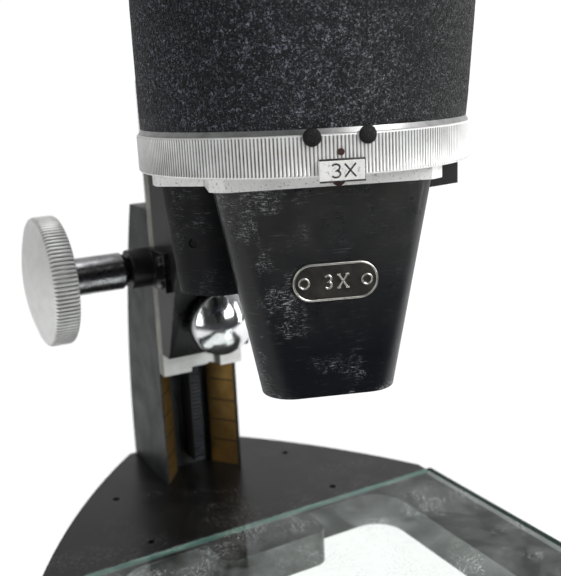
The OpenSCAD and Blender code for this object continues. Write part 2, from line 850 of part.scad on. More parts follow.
// Solid form of the housing of one station, drawn in by a wall and longer by an extra
module housing_shape(k, shrink, extra) {
  top_half = 33.7;
  bottom_half = 21.6;
  t = (plate_bottom - station_bottoms[k]) / (plate_bottom - station_bottoms[0]);
  half = top_half - (top_half - bottom_half) * t;
  hull() {
    translate([0, 0, plate_bottom - 0.1])
      section(top_half - shrink, 41 - shrink, 16 + shrink, 10 - shrink);
    translate([0, 0, station_bottoms[k] - extra])
      section(half - shrink, station_fronts[k] - shrink, 16 + shrink, 10 - shrink);
  }
}

// One objective housing: an open shell with a floor that carries the two lens cells
module objective_housing(k) {
  wall = 2.5;
  floor_h = 4;
  bottom = station_bottoms[k];
  difference() {
    housing_shape(k, 0, 0);
    difference() {
      translate([0, 0, eps]) housing_shape(k, wall, 1);
      translate([-60, -60, bottom - 5]) cube([120, 120, 5 + floor_h]);
    }
    for (side = [-1, 1]) on_axis(side, bottom + 2) cylinder(r = 7.6, h = 16, center = true);
  }
}

// Middle of each set screw in the side walls of the 2X housing
module set_screw_place() {
  station(2) both_sides() translate([28.9, -28.5, station_bottoms[2] + 18.3]) along_x()
    children();
}

module housing_3x() { color(black) station(0) objective_housing(0); }

// The lowest power is a plain block with the outline of a plate
module housing_1x() {
  color(black) station(1) {
    station_plate(plate_bottom - station_bottoms[1]);
    objective_housing(1);
  }
}

module housing_2x() {
  color(black) difference() {
    station(2) objective_housing(2);
    set_screw_place() cylinder(r = 1.6, h = 16, center = true);
  }
}

module lens_cells() {
  color([0.15, 0.15, 0.15]) for (k = [0 : 2]) station(k) for (side = [-1, 1])
    on_axis(side, station_bottoms[k] + 2) translate([0, 0, -1.5])
      ring(7.55, 6.2, k == 1 ? 5 : 9);
}

module objective_lenses() {
  color(glass) for (k = [0 : 2]) station(k) for (side = [-1, 1])
    on_axis(side, station_bottoms[k] + 2) rotate_extrude() polygon(concat(
      [[0, -0.6]], [for (i = [1 : 8]) [6.2 * i / 8, -0.6 + 0.9 * pow(i / 8, 2)]],
      [for (i = [8 : -1 : 0]) [6.2 * i / 8, 2.6 - 0.9 * pow(i / 8, 2)]]
    ));
}

// Frame on the sloping front of the 3X housing, Z out of the face
module face_place() {
  slope = atan(4 / (plate_bottom - station_bottoms[0]));
  z = 149.6;
  dist = 37 + 4 * (z - station_bottoms[0]) / (plate_bottom - station_bottoms[0]);
  station(0) translate([0.8, -dist, z]) rotate([90 + slope, 0, 0]) children();
}

module nameplate() {
  color([0.3, 0.3, 0.3]) face_place() difference() {
    union() {
      translate([-7.4, -5.9, 0.02]) cube([14.8, 11.8, 0.6]);
      for (s = [-1, 1]) translate([s * 7.4, 0, 0.02]) cylinder(r = 5.9, h = 0.6);
    }
    for (s = [-1, 1]) translate([s * 9.8, 0, -1]) cylinder(r = 0.8, h = 4);
  }
}

module nameplate_screws() {
  color(steel) face_place() for (s = [-1, 1]) translate([s * 9.8, 0, 0.62])
    difference() {
      union() {
        cylinder(r = 1.9, h = 0.5);
        translate([0, 0, -0.55]) cylinder(r = 0.75, h = 0.6);
      }
      translate([-3, -0.2, 0.25]) cube([6, 0.4, 2]);
    }
}

module set_screws() {
  color(steel) set_screw_place() cylinder(r = 1.55, h = 1.4, center = true);
}

// ---- eyepiece side ----

module prism_housing() {
  wall = 3;
  difference() {
    union() {
      translate([0, 0, seat_w + 0.1]) cylinder(r = housing_r, h = housing_l);
      translate([0, 0, seat_w - 8]) cylinder(r = 20, h = 10);
    }
    translate([0, 0, seat_w + 0.1 + wall])
      cylinder(r = housing_r - wall, h = housing_l - 2 * wall);
    translate([0, 0, seat_w - 9]) cylinder(r = 15, h = 20);
    translate([-tube_offset * cos(spread_turn), tube_offset * sin(spread_turn), seat_w + 10])
      cylinder(r = 11, h = 40);
  }
}

module prism_housing_left() { color(black) eye_frame(-1) prism_housing(); }
module prism_housing_right() { color(black) eye_frame(1) prism_housing(); }

// Two right-angle prisms crossed on each other, which set the image upright
module erecting_prisms() {
  width = 15;
  translate([0, 0, seat_w + 4]) rotate([0, 0, 180 - spread_turn]) {
    translate([-width + 5, -width / 2, 0]) rotate([90, 0, 90])
      linear_extrude(width) polygon([[-4, 0], [width + 4, 0], [width / 2, 9]]);
    translate([0, -width / 2 + 1, 10.2]) rotate([90, 0, 0]) translate([0, 0, -width])
      linear_extrude(width) polygon([[-8, 9], [14, 9], [3, 0]]);
  }
}

module erecting_prisms_left() { color(glass) eye_frame(-1) erecting_prisms(); }
module erecting_prisms_right() { color(glass) eye_frame(1) erecting_prisms(); }

module eyepiece_tube() {
  difference() {
    union() {
      cylinder(r = tube_r, h = 3);
      cylinder(r = tube_r - 1, h = tube_l);
    }
    translate([0, 0, 6]) cylinder(r = ocular_r + run_gap, h = tube_l);
    translate([0, 0, -1]) cylinder(r = 11, h = 20);
  }
}

module eyepiece_tube_left() { color(steel) tube_frame(-1) eyepiece_tube(); }
module eyepiece_tube_right() { color(steel) tube_frame(1) eyepiece_tube(); }

module dioptre_ring() {
  color(steel) tube_frame(-1) translate([0, 0, 12]) ring(tube_r + 2, tube_r - 1 + run_gap, 9);
}

// Eyepiece: barrel that slips into the tube, wider head with a rolled edge
module eyepiece() {
  seat = tube_l + 3;
  lens_r = 11;
  color(black) rotate_extrude() polygon([
    [12.5, 9.5], [ocular_r, 9.5], [ocular_r, seat], [18.5, seat], [19, seat + 1],
    [19, seat + 12], [16.5, seat + 19], [13.5, seat + 20.5], [lens_r, seat + 19],
    [lens_r, seat + 13], [12.5, seat + 12]
  ]);
}

module eyepiece_left() { tube_frame(-1) eyepiece(); }
module eyepiece_right() { tube_frame(1) eyepiece(); }

module lens(r, edge, bulge) {
  rotate_extrude() polygon(concat(
    [for (i = [0 : 8]) [r * i / 8, -bulge * (1 - pow(i / 8, 2))]],
    [for (i = [8 : -1 : 0]) [r * i / 8, edge + bulge * (1 - pow(i / 8, 2))]]
  ));
}

module eyepiece_lens_pair() {
  translate([0, 0, tube_l + 17.5]) lens(11, 2.5, 0.9);
  translate([0, 0, 12]) lens(12.5, 3, 1.2);
}

module eyepiece_lenses_left() { color(glass) tube_frame(-1) eyepiece_lens_pair(); }
module eyepiece_lenses_right() { color(glass) tube_frame(1) eyepiece_lens_pair(); }

placed() base_casting();
placed() rubber_feet();
placed() column();
placed() column_bolts();
placed() way_strip_left();
placed() way_strip_right();
placed() rack();
placed() rack_screws();
placed() stage_glass();
placed() slide();
placed() arm();
placed() slide_screws();
placed() bearing_plates();
placed() bearing_screws();
placed() clamp_pad();
placed() pinion_shaft();
placed() pinion_gear();
placed() knob_sleeves();
placed() focus_knob_left();
placed() focus_knob_right();
placed() clamp_knob();
placed() clamp_stud();
placed() head_clamp_screw();
placed() drum_body();
placed() drum_band();
placed() turret_spindle();
placed() spindle_nut();
placed() index_pins();
placed() head_deck();
placed() head_screws();
placed() prism_case();
placed() inclination_prisms();
placed() detent_spring();
placed() detent_ball();
placed() turret_ring();
placed() turret_disc();
placed() label_plates();
placed() station_dots();
placed() mount_plates();
placed() plate_screws();
placed() centring_screws();
placed() housing_3x();
placed() housing_2x();
placed() housing_1x();
placed() lens_cells();
placed() objective_lenses();
placed() nameplate();
placed() nameplate_screws();
placed() set_screws();
placed() prism_housing_left();
placed() prism_housing_right();
placed() erecting_prisms_left();
placed() erecting_prisms_right();
placed() eyepiece_tube_left();
placed() eyepiece_tube_right();
placed() dioptre_ring();
placed() eyepiece_left();
placed() eyepiece_right();
placed() eyepiece_lenses_left();
placed() eyepiece_lenses_right();
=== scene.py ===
"""Looks of the stereo microscope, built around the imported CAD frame. Metres, Z up."""
import json
import math

import bmesh
import bpy
from mathutils import Matrix, Vector, noise

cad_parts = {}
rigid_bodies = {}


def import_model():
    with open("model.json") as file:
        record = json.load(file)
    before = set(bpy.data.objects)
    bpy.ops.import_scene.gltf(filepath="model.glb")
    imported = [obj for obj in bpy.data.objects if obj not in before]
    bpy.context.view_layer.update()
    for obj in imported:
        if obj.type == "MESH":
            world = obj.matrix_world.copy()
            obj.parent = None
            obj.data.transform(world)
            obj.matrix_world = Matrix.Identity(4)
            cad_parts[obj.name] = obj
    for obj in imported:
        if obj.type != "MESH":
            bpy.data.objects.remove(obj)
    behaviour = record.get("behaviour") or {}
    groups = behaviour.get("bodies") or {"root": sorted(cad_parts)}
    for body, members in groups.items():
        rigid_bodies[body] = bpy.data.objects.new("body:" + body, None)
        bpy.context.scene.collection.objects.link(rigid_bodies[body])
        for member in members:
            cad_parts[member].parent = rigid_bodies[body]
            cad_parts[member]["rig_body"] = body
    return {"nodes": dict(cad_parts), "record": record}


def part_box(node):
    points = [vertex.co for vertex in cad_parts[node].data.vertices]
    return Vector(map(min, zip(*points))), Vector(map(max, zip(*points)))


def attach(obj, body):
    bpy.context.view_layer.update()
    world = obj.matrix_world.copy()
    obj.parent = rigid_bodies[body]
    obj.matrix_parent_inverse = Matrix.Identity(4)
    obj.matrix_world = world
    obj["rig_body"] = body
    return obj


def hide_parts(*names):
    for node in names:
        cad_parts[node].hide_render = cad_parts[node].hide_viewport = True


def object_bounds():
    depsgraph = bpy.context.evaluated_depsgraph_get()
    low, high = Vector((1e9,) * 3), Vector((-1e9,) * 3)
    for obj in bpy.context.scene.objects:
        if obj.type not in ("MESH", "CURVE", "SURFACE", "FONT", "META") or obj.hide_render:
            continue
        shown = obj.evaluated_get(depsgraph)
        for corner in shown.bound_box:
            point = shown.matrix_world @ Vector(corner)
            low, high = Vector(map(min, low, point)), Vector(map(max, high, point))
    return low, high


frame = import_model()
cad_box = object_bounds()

NODES = frame["nodes"]
MM = 0.001
SLOTS = {s["node"]: s["material_slot"] for s in frame["record"]["subparts"]}
TAU = 2 * math.pi
# Width of the painted dark band, a painted reflection, that shows inside a cut glass edge
GLASS_RIM = 3.1 * MM
# Strength that shows as plain white
WHITE_GLOW = 1.05
# Eye of the photographer, from the drum axis at table height, and its aim
EYE = (-0.1470, -0.25315, 0.2089)
EYE_YAW, EYE_PITCH, EYE_ROLL = 28.21, 13.45, -2.77
# Focal length over the long side of the picture
EYE_FOCAL = 1.49115
RING_LOW, RING_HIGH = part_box("turret_ring")
# Vertical axis of the drum, on the table
AXIS = Vector(((RING_LOW.x + RING_HIGH.x) / 2, (RING_LOW.y + RING_HIGH.y) / 2, 0))


def centre_of(node):
    low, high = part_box(node)
    return (low + high) / 2


# ---------------------------------------------------------------- materials

class Graph:
    """A node material, or a world, under construction. Texture scales are per metre."""

    def __init__(self, name, world=None):
        self.material = world or bpy.data.materials.new(name)
        self.material.use_nodes = True
        self.tree = self.material.node_tree
        self.tree.nodes.clear()
        self.place = self.node("TexCoord").outputs["Generated" if world else "Object"]

    def node(self, kind, values=None, **props):
        made = self.tree.nodes.new("ShaderNode" + kind)
        for key, value in props.items():
            setattr(made, key, value)
        for key, value in (values or {}).items():
            if isinstance(value, bpy.types.NodeSocket):
                self.tree.links.new(value, made.inputs[key])
            elif isinstance(value, tuple) and len(value) == 3 and made.inputs[key].type == "RGBA":
                made.inputs[key].default_value = (*value, 1)
            else:
                made.inputs[key].default_value = value
        return made

    def stretched(self, scale):
        return self.node("Mapping", {"Vector": self.place, "Scale": scale}).outputs[0]

    def noise(self, scale, detail=4.0, rough=0.55, distort=0.0, place=None):
        made = self.node("TexNoise", {"Vector": place or self.place, "Scale": scale,
                                      "Detail": detail, "Roughness": rough,
                                      "Distortion": distort})
        return made.outputs["Fac"]

    def cells(self, scale):
        return self.node("TexVoronoi", {"Vector": self.place, "Scale": scale}).outputs["Distance"]

    def across(self):
        """Place along X, Y and Z, as three values."""
        return self.node("SeparateXYZ", {0: self.place}).outputs

    def ramp(self, value, low, high, out_low=0.0, out_high=1.0):
        made = self.node("MapRange", {0: value, 1: low, 2: high, 3: out_low, 4: out_high})
        return made.outputs[0]

    def math(self, operation, a, b=0.0):
        return self.node("Math", {0: a, 1: b}, operation=operation).outputs[0]

    def mix(self, share, a, b):
        made = self.node("Mix", data_type="RGBA")
        for index, value in ((0, share), (6, a), (7, b)):
            if isinstance(value, bpy.types.NodeSocket):
                self.tree.links.new(value, made.inputs[index])
            else:
                made.inputs[index].default_value = value if index == 0 else (*value, 1)
        return made.outputs[2]

    def bump(self, height, depth_mm, strength=1.0, below=None):
        values = {"Height": height, "Distance": depth_mm * MM, "Strength": strength}
        if below:
            values["Normal"] = below
        return self.node("Bump", values).outputs[0]

    def rounded(self, radius_mm):
        return self.node("Bevel", {"Radius": radius_mm * MM}, samples=4).outputs[0]

    def edge(self, radius_mm, low=0.02, high=0.25):
        """1 near sharp edges, from how far a rounded normal leaves the true one."""
        true = self.node("NewGeometry").outputs["Normal"]
        dot = self.node("VectorMath", {0: self.rounded(radius_mm), 1: true},
                        operation="DOT_PRODUCT").outputs["Value"]
        return self.ramp(self.math("SUBTRACT", 1.0, dot), low, high)

    def cavity(self):
        return self.node("Attribute", attribute_name="cavity").outputs["Fac"]

    def finish(self, **values):
        shader = self.node("BsdfPrincipled", {k.replace("_", " "): v for k, v in values.items()})
        self.end(shader.outputs[0])
        return self.material

    def end(self, shader):
        self.node("OutputMaterial", {"Surface": shader})


def dust_mask(g, size, amount, patch_scale, patch_low):
    """Small specks gathered in patches. A larger amount makes larger specks."""
    specks = g.ramp(g.cells(size), amount, amount * 0.55)
    patches = g.ramp(g.noise(patch_scale, 3.0), patch_low, patch_low + 0.12)
    return g.math("MULTIPLY", specks, patches)


def wrinkle_paint():
    """Black wrinkle paint: pale ridges in clumps as painted highlights, bluish on the side away from
    the light as a painted reflection, and small painted glints.
    """
    g = Graph("black_wrinkle")
    coarse = g.noise(1500.0, 5.0, 0.7, 0.9)
    fine = g.noise(4200.0, 3.0, 0.6)
    height = g.math("ADD", g.math("MULTIPLY", coarse, 0.7), g.math("MULTIPLY", fine, 0.3))
    ridge = g.ramp(height, 0.52, 0.60)
    blotch = g.ramp(g.noise(28.0, 3.0), 0.35, 0.65, 0.35, 1.0)
    clumps = g.ramp(g.noise(620.0, 3.0, 0.65, 0.6), 0.40, 0.62, 0.05, 1.0)
    # Painted reflection: the ridge colour is bluish on faces turned to the left and grey on faces
    # turned to the right
    across = g.node("SeparateXYZ", {0: g.node("NewGeometry").outputs["Normal"]}).outputs[0]
    pale = g.mix(g.ramp(across, -0.9, 0.2), (0.44, 0.49, 0.62), (0.27, 0.28, 0.27))
    # The pale ridges, in blotches and clumps, are painted highlights
    color = g.mix(g.math("MULTIPLY", g.math("MULTIPLY", ridge, blotch), clumps),
                  (0.0022, 0.0026, 0.004), pale)
    # Small bright specks are painted glints
    specks = g.math("MULTIPLY", g.ramp(g.noise(2600.0, 2.0, 0.5), 0.67, 0.74), 0.7)
    color = g.mix(specks, color, (0.62, 0.64, 0.68))
    rough = g.ramp(height, 0.4, 0.62, 0.6, 0.28)
    return g.finish(Base_Color=color, Roughness=rough, Normal=g.bump(height, 0.7, 1.0),
                    Specular_IOR_Level=0.3)


def gloss_enamel(name="black_gloss", dull=0.0):
    """Black enamel of the housings, lighter towards the top as a painted reflection; dull takes away
    most of the shine, that painted reflection included.
    """
    g = Graph(name)
    smear = g.noise(55.0, 5.0, 0.6, 0.4)
    fibres = g.ramp(g.noise(1.0, 3.0, 0.6, 0.4, g.stretched((500.0, 500.0, 3000.0))), 0.56, 0.66)
    crumbs = g.ramp(g.noise(2400.0, 3.0, 0.7), 0.58, 0.68)
    patches = g.ramp(g.noise(95.0, 4.0, 0.62), 0.50, 0.60)
    # Scuffs gather on the left flank and round the foot of the front housing
    across, _, high = g.across()
    plate, foot = centre_of("nameplate").x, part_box("housing_3x")[0].z
    flank = g.ramp(across, plate - 7 * MM, plate - 14 * MM)
    where = g.math("MAXIMUM", flank, g.ramp(high, foot + 15 * MM, foot + 7 * MM))
    where = g.math("ADD", 0.06, g.math("MULTIPLY", where, 0.94 * (1 - dull)))
    light = g.math("MULTIPLY", g.math("MAXIMUM", fibres, crumbs), patches)
    light = g.math("MULTIPLY", light, where)
    fine = g.ramp(g.noise(1.0, 2.0, 0.5, 0.0, g.stretched((160.0, 160.0, 5200.0))), 0.66, 0.74)
    light = g.math("MAXIMUM", g.math("MULTIPLY", light, 0.7), g.math("MULTIPLY", fine, 0.12))
    # Painted reflection: the base turns lighter grey towards the top, broken up by the smears
    painted_top_reflection = g.math("MULTIPLY", g.ramp(high, 0.125, 0.18), g.ramp(smear, 0.3, 0.75, 0.4, 1.0))
    base = g.mix(painted_top_reflection, (0.0040, 0.0050, 0.0074),
                 (0.034 - 0.026 * dull, 0.0335 - 0.026 * dull, 0.0315 - 0.024 * dull))
    color = g.mix(light, base, (0.36, 0.37, 0.38))
    rough = g.math("ADD", g.ramp(smear, 0.3, 0.7, 0.24, 0.36),
                   g.math("ADD", g.math("MULTIPLY", light, 0.3), 0.25 * dull))
    bump = g.bump(g.noise(240.0, 3.0), 0.06, 0.5)
    return g.finish(Base_Color=color, Roughness=rough, Normal=bump,
                    Specular_IOR_Level=0.30 - 0.25 * dull)


def casting_enamel():
    """Black enamel of the castings, dusty, with chipped edges."""
    g = Graph("black_casting")
    smear = g.noise(38.0, 6.0, 0.62, 0.5)
    dust = dust_mask(g, 1100.0, 0.3, 60.0, 0.52)
    chips = g.math("MULTIPLY", g.edge(0.9, 0.05, 0.3), g.ramp(g.noise(260.0, 4.0), 0.5, 0.6))
    # Dust swept up against the rear edge of the stage glass
    depth = g.across()[1]
    glass_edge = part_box("stage_glass")[1].y
    swept = g.math("MULTIPLY", g.ramp(depth, glass_edge - 1 * MM, glass_edge),
                   g.ramp(depth, glass_edge + 22 * MM, glass_edge + 2 * MM))
    crumbs = g.math("MULTIPLY", g.ramp(g.noise(900.0, 4.0, 0.7), 0.54, 0.66),
                    g.ramp(g.noise(70.0, 3.0), 0.42, 0.6))
    dust = g.math("MAXIMUM", dust, g.math("MULTIPLY", g.math("MULTIPLY", swept, crumbs), 0.8))
    base = g.mix(g.ramp(smear, 0.3, 0.7), (0.003, 0.003, 0.0032), (0.010, 0.0098, 0.0095))
    color = g.mix(g.math("MULTIPLY", dust, 0.55), base, (0.30, 0.28, 0.27))
    color = g.mix(chips, color, (0.16, 0.15, 0.145))
    rough = g.math("ADD", g.ramp(smear, 0.3, 0.7, 0.26, 0.4), g.math("MULTIPLY", dust, 0.3))
    bump = g.bump(g.noise(180.0, 4.0, 0.5), 0.12, 0.35, g.rounded(0.5))
    return g.finish(Base_Color=color, Roughness=rough, Normal=bump, Specular_IOR_Level=0.25)


def column_enamel():
    """Thin grey-black paint of the column and slide parts, cloudy."""
    g = Graph("grey_casting")
    cloud = g.noise(60.0, 6.0, 0.65, 0.3)
    grain = g.noise(900.0, 3.0, 0.6)
    base = g.mix(g.ramp(cloud, 0.32, 0.7), (0.009, 0.0105, 0.0112), (0.048, 0.053, 0.055))
    chips = g.math("MULTIPLY", g.edge(0.8, 0.05, 0.3), g.ramp(g.noise(300.0, 4.0), 0.48, 0.6))
    color = g.mix(chips, base, (0.2, 0.2, 0.2))
    height = g.math("ADD", cloud, g.math("MULTIPLY", grain, 0.4))
    return g.finish(Base_Color=color, Roughness=g.ramp(cloud, 0.3, 0.7, 0.5, 0.38),
                    Normal=g.bump(height, 0.16, 0.6, g.rounded(0.6)), Specular_IOR_Level=0.3)


def ground_steel():
    """Ground plates, nearly white, with dark pits."""
    g = Graph("ground_steel")
    lines = g.noise(1.0, 2.0, 0.5, 0.0, g.stretched((2600.0, 2600.0, 120.0)))
    stain = g.noise(120.0, 5.0, 0.6)
    pits = g.ramp(g.noise(1300.0, 3.0), 0.60, 0.68)
    color = g.mix(g.ramp(stain, 0.4, 0.8), (0.98, 0.98, 0.97), (0.74, 0.73, 0.70))
    color = g.mix(g.math("MULTIPLY", pits, 0.6), color, (0.22, 0.21, 0.19))
    return g.finish(Base_Color=color, Metallic=0.4, Roughness=g.ramp(stain, 0.3, 0.7, 0.34, 0.48),
                    Normal=g.bump(lines, 0.02, 0.5, g.rounded(0.3)))


def turned_steel():
    g = Graph("steel")
    stain = g.noise(200.0, 5.0, 0.6)
    color = g.mix(g.ramp(stain, 0.35, 0.7), (0.34, 0.34, 0.35), (0.16, 0.16, 0.165))
    return g.finish(Base_Color=color, Metallic=1.0, Roughness=g.ramp(stain, 0.3, 0.7, 0.2, 0.34),
                    Normal=g.bump(g.noise(1500.0, 2.0), 0.01, 0.5, g.rounded(0.2)))


def way_brass():
    """Brass ways, brown, darker in the grooves."""
    g = Graph("brass")
    tarnish = g.noise(90.0, 6.0, 0.65, 0.4)
    wear = g.noise(1.0, 3.0, 0.5, 0.0, g.stretched((1500.0, 1500.0, 60.0)))
    # The grooves, found by ambient occlusion, turn near black and lose their metal
    open_air = g.node("AmbientOcclusion", {"Distance": 1.1 * MM}, samples=8).outputs["AO"]
    groove_darkening = g.ramp(open_air, 0.95, 0.72)
    color = g.mix(g.ramp(tarnish, 0.3, 0.7), (0.50, 0.32, 0.10), (0.24, 0.14, 0.045))
    color = g.mix(g.math("MULTIPLY", wear, 0.3), color, (0.10, 0.065, 0.03))
    color = g.mix(groove_darkening, color, (0.012, 0.010, 0.008))
    metal = g.ramp(groove_darkening, 0.0, 1.0, 0.9, 0.0)
    return g.finish(Base_Color=color, Metallic=metal, Roughness=g.ramp(tarnish, 0.3, 0.7, 0.34, 0.5),
                    Normal=g.bump(wear, 0.03, 0.4))


def knurled_aluminium():
    """Bright aluminium; the grooves between ribs carry the cavity attribute and are darker."""
    g = Graph("knurled_aluminium")
    cavity = g.cavity()
    stain = g.noise(170.0, 5.0, 0.62)
    rib_groove_darkening = g.math("MULTIPLY", g.ramp(cavity, 0.15, 0.8), g.ramp(stain, 0.25, 0.7, 0.7, 1.0))
    spots = g.ramp(g.noise(700.0, 4.0, 0.65), 0.66, 0.76)
    color = g.mix(g.ramp(stain, 0.4, 0.8), (0.96, 0.96, 0.96), (0.84, 0.83, 0.80))
    color = g.mix(rib_groove_darkening, color, (0.05, 0.05, 0.045))
    color = g.mix(g.math("MULTIPLY", spots, 0.45), color, (0.24, 0.21, 0.16))
    rings = g.noise(1.0, 2.0, 0.5, 0.0, g.stretched((900.0, 900.0, 900.0)))
    return g.finish(Base_Color=color, Metallic=0.4, Roughness=g.ramp(stain, 0.3, 0.7, 0.3, 0.44),
                    Normal=g.bump(rings, 0.015, 0.5))


def chrome_plate():
    """Bright plating with uneven reflections."""
    g = Graph("chrome")
    wave = g.noise(120.0, 2.0, 0.4)
    haze = g.noise(350.0, 4.0, 0.6)
    cavity = g.cavity()
    color = g.mix(g.math("MULTIPLY", cavity, 0.7), (0.86, 0.87, 0.88), (0.2, 0.2, 0.2))
    return g.finish(Base_Color=color, Metallic=1.0, Roughness=g.ramp(haze, 0.4, 0.8, 0.11, 0.2),
                    Normal=g.bump(wave, 0.5, 0.4))


def anodised():
    g = Graph("black_anodised")
    grain = g.noise(900.0, 4.0, 0.6)
    wear = g.noise(160.0, 4.0, 0.6)
    color = g.mix(g.ramp(wear, 0.35, 0.75), (0.030, 0.029, 0.028), (0.085, 0.075, 0.065))
    return g.finish(Base_Color=color, Metallic=0.6, Roughness=g.ramp(grain, 0.3, 0.7, 0.3, 0.5),
                    Normal=g.bump(grain, 0.02, 0.5))


def rubber():
    g = Graph("rubber")
    grain = g.noise(1200.0, 4.0, 0.6)
    color = g.mix(grain, (0.012, 0.012, 0.012), (0.035, 0.034, 0.033))
    return g.finish(Base_Color=color, Roughness=0.75, Normal=g.bump(grain, 0.08, 0.6))


def red_enamel():
    g = Graph("red_enamel")
    wear = g.noise(1500.0, 3.0, 0.6)
    color = g.mix(g.ramp(wear, 0.4, 0.65), (0.055, 0.020, 0.014), (0.022, 0.012, 0.009))
    return g.finish(Base_Color=color, Roughness=0.4, Normal=g.bump(wear, 0.03, 0.5))


# Black engraving ink; the same black paints the shade in the gaps round the label plates
def ink():
    g = Graph("ink_and_gap_shade")
    wear = g.noise(1800.0, 3.0, 0.6)
    color = g.mix(g.ramp(wear, 0.55, 0.7), (0.012, 0.011, 0.010), (0.10, 0.09, 0.08))
    return g.finish(Base_Color=color, Roughness=0.5)


def pitted_black():
    """Rough dull black of the two index pins, with lighter pits."""
    g = Graph("pitted_black")
    pits = g.noise(1500.0, 4.0, 0.7)
    color = g.mix(g.ramp(pits, 0.58, 0.7), (0.004, 0.004, 0.004), (0.06, 0.06, 0.06))
    return g.finish(Base_Color=color, Roughness=0.6, Normal=g.bump(pits, 0.4, 1.0),
                    Specular_IOR_Level=0.3)


def slide_steel():
    """Dull ground steel: bright on faces turned forwards, darker on faces turned to the sides as
    painted shade.
    """
    g = Graph("slide_steel")
    stain = g.noise(90.0, 5.0, 0.6)
    geometry = g.node("NewGeometry")
    # Painted shade: how far a face turns to the side sets how dark it is
    side = g.math("ABSOLUTE", g.node("SeparateXYZ",
                                     {0: geometry.outputs["True Normal"]}).outputs[0])
    side_face_shade = g.mix(g.ramp(stain, 0.35, 0.7), (0.32, 0.32, 0.28), (0.15, 0.15, 0.135))
    bare_steel = g.mix(g.ramp(stain, 0.35, 0.75), (0.86, 0.87, 0.86), (0.62, 0.62, 0.60))
    color = g.mix(g.ramp(side, 0.5, 0.8), bare_steel, side_face_shade)
    return g.finish(Base_Color=color, Metallic=0.3, Roughness=0.42,
                    Normal=g.bump(stain, 0.02, 0.4, g.rounded(0.3)))


def greasy_steel():
    """Rack under old grease."""
    g = Graph("greasy_steel")
    grime = g.noise(420.0, 4.0, 0.6)
    color = g.mix(g.ramp(grime, 0.35, 0.7), (0.035, 0.037, 0.045), (0.010, 0.010, 0.012))
    return g.finish(Base_Color=color, Metallic=0.3, Roughness=0.32,
                    Normal=g.bump(grime, 0.03, 0.5))


def polished_band():
    """Satin metal of the band under the drum."""
    g = Graph("polished_band")
    stain = g.noise(260.0, 4.0, 0.6)
    color = g.mix(g.ramp(stain, 0.35, 0.7), (0.50, 0.50, 0.50), (0.34, 0.34, 0.34))
    return g.finish(Base_Color=color, Metallic=1.0, Roughness=0.36,
                    Normal=g.bump(stain, 0.006, 0.3))


def bright_silver():
    """Worn silver of the nameplate's raised lines; cavities are black."""
    g = Graph("bright_silver")
    wear = g.noise(900.0, 4.0, 0.6)
    cavity = g.cavity()
    color = g.mix(g.ramp(wear, 0.45, 0.75), (0.9, 0.88, 0.84), (0.62, 0.58, 0.5))
    color = g.mix(cavity, color, (0.025, 0.02, 0.016))
    return g.finish(Base_Color=color, Metallic=g.ramp(cavity, 0.3, 1, 1.0, 0.0), Roughness=0.3,
                    Normal=g.bump(wear, 0.02, 0.5))


def optical_glass():
    """Coated lens glass with a violet cast."""
    g = Graph("optical_glass")
    facing = g.node("LayerWeight", {"Blend": 0.35}).outputs["Facing"]
    haze = g.noise(150.0, 3.0)
    tint = g.mix(facing, (0.30, 0.38, 0.62), (0.62, 0.50, 0.66))
    return g.finish(Base_Color=tint, Roughness=g.ramp(haze, 0.3, 0.8, 0.0, 0.05),
                    Transmission_Weight=0.75, IOR=1.5, Coat_Weight=0.4, Coat_Tint=(0.6, 0.6, 1.0))


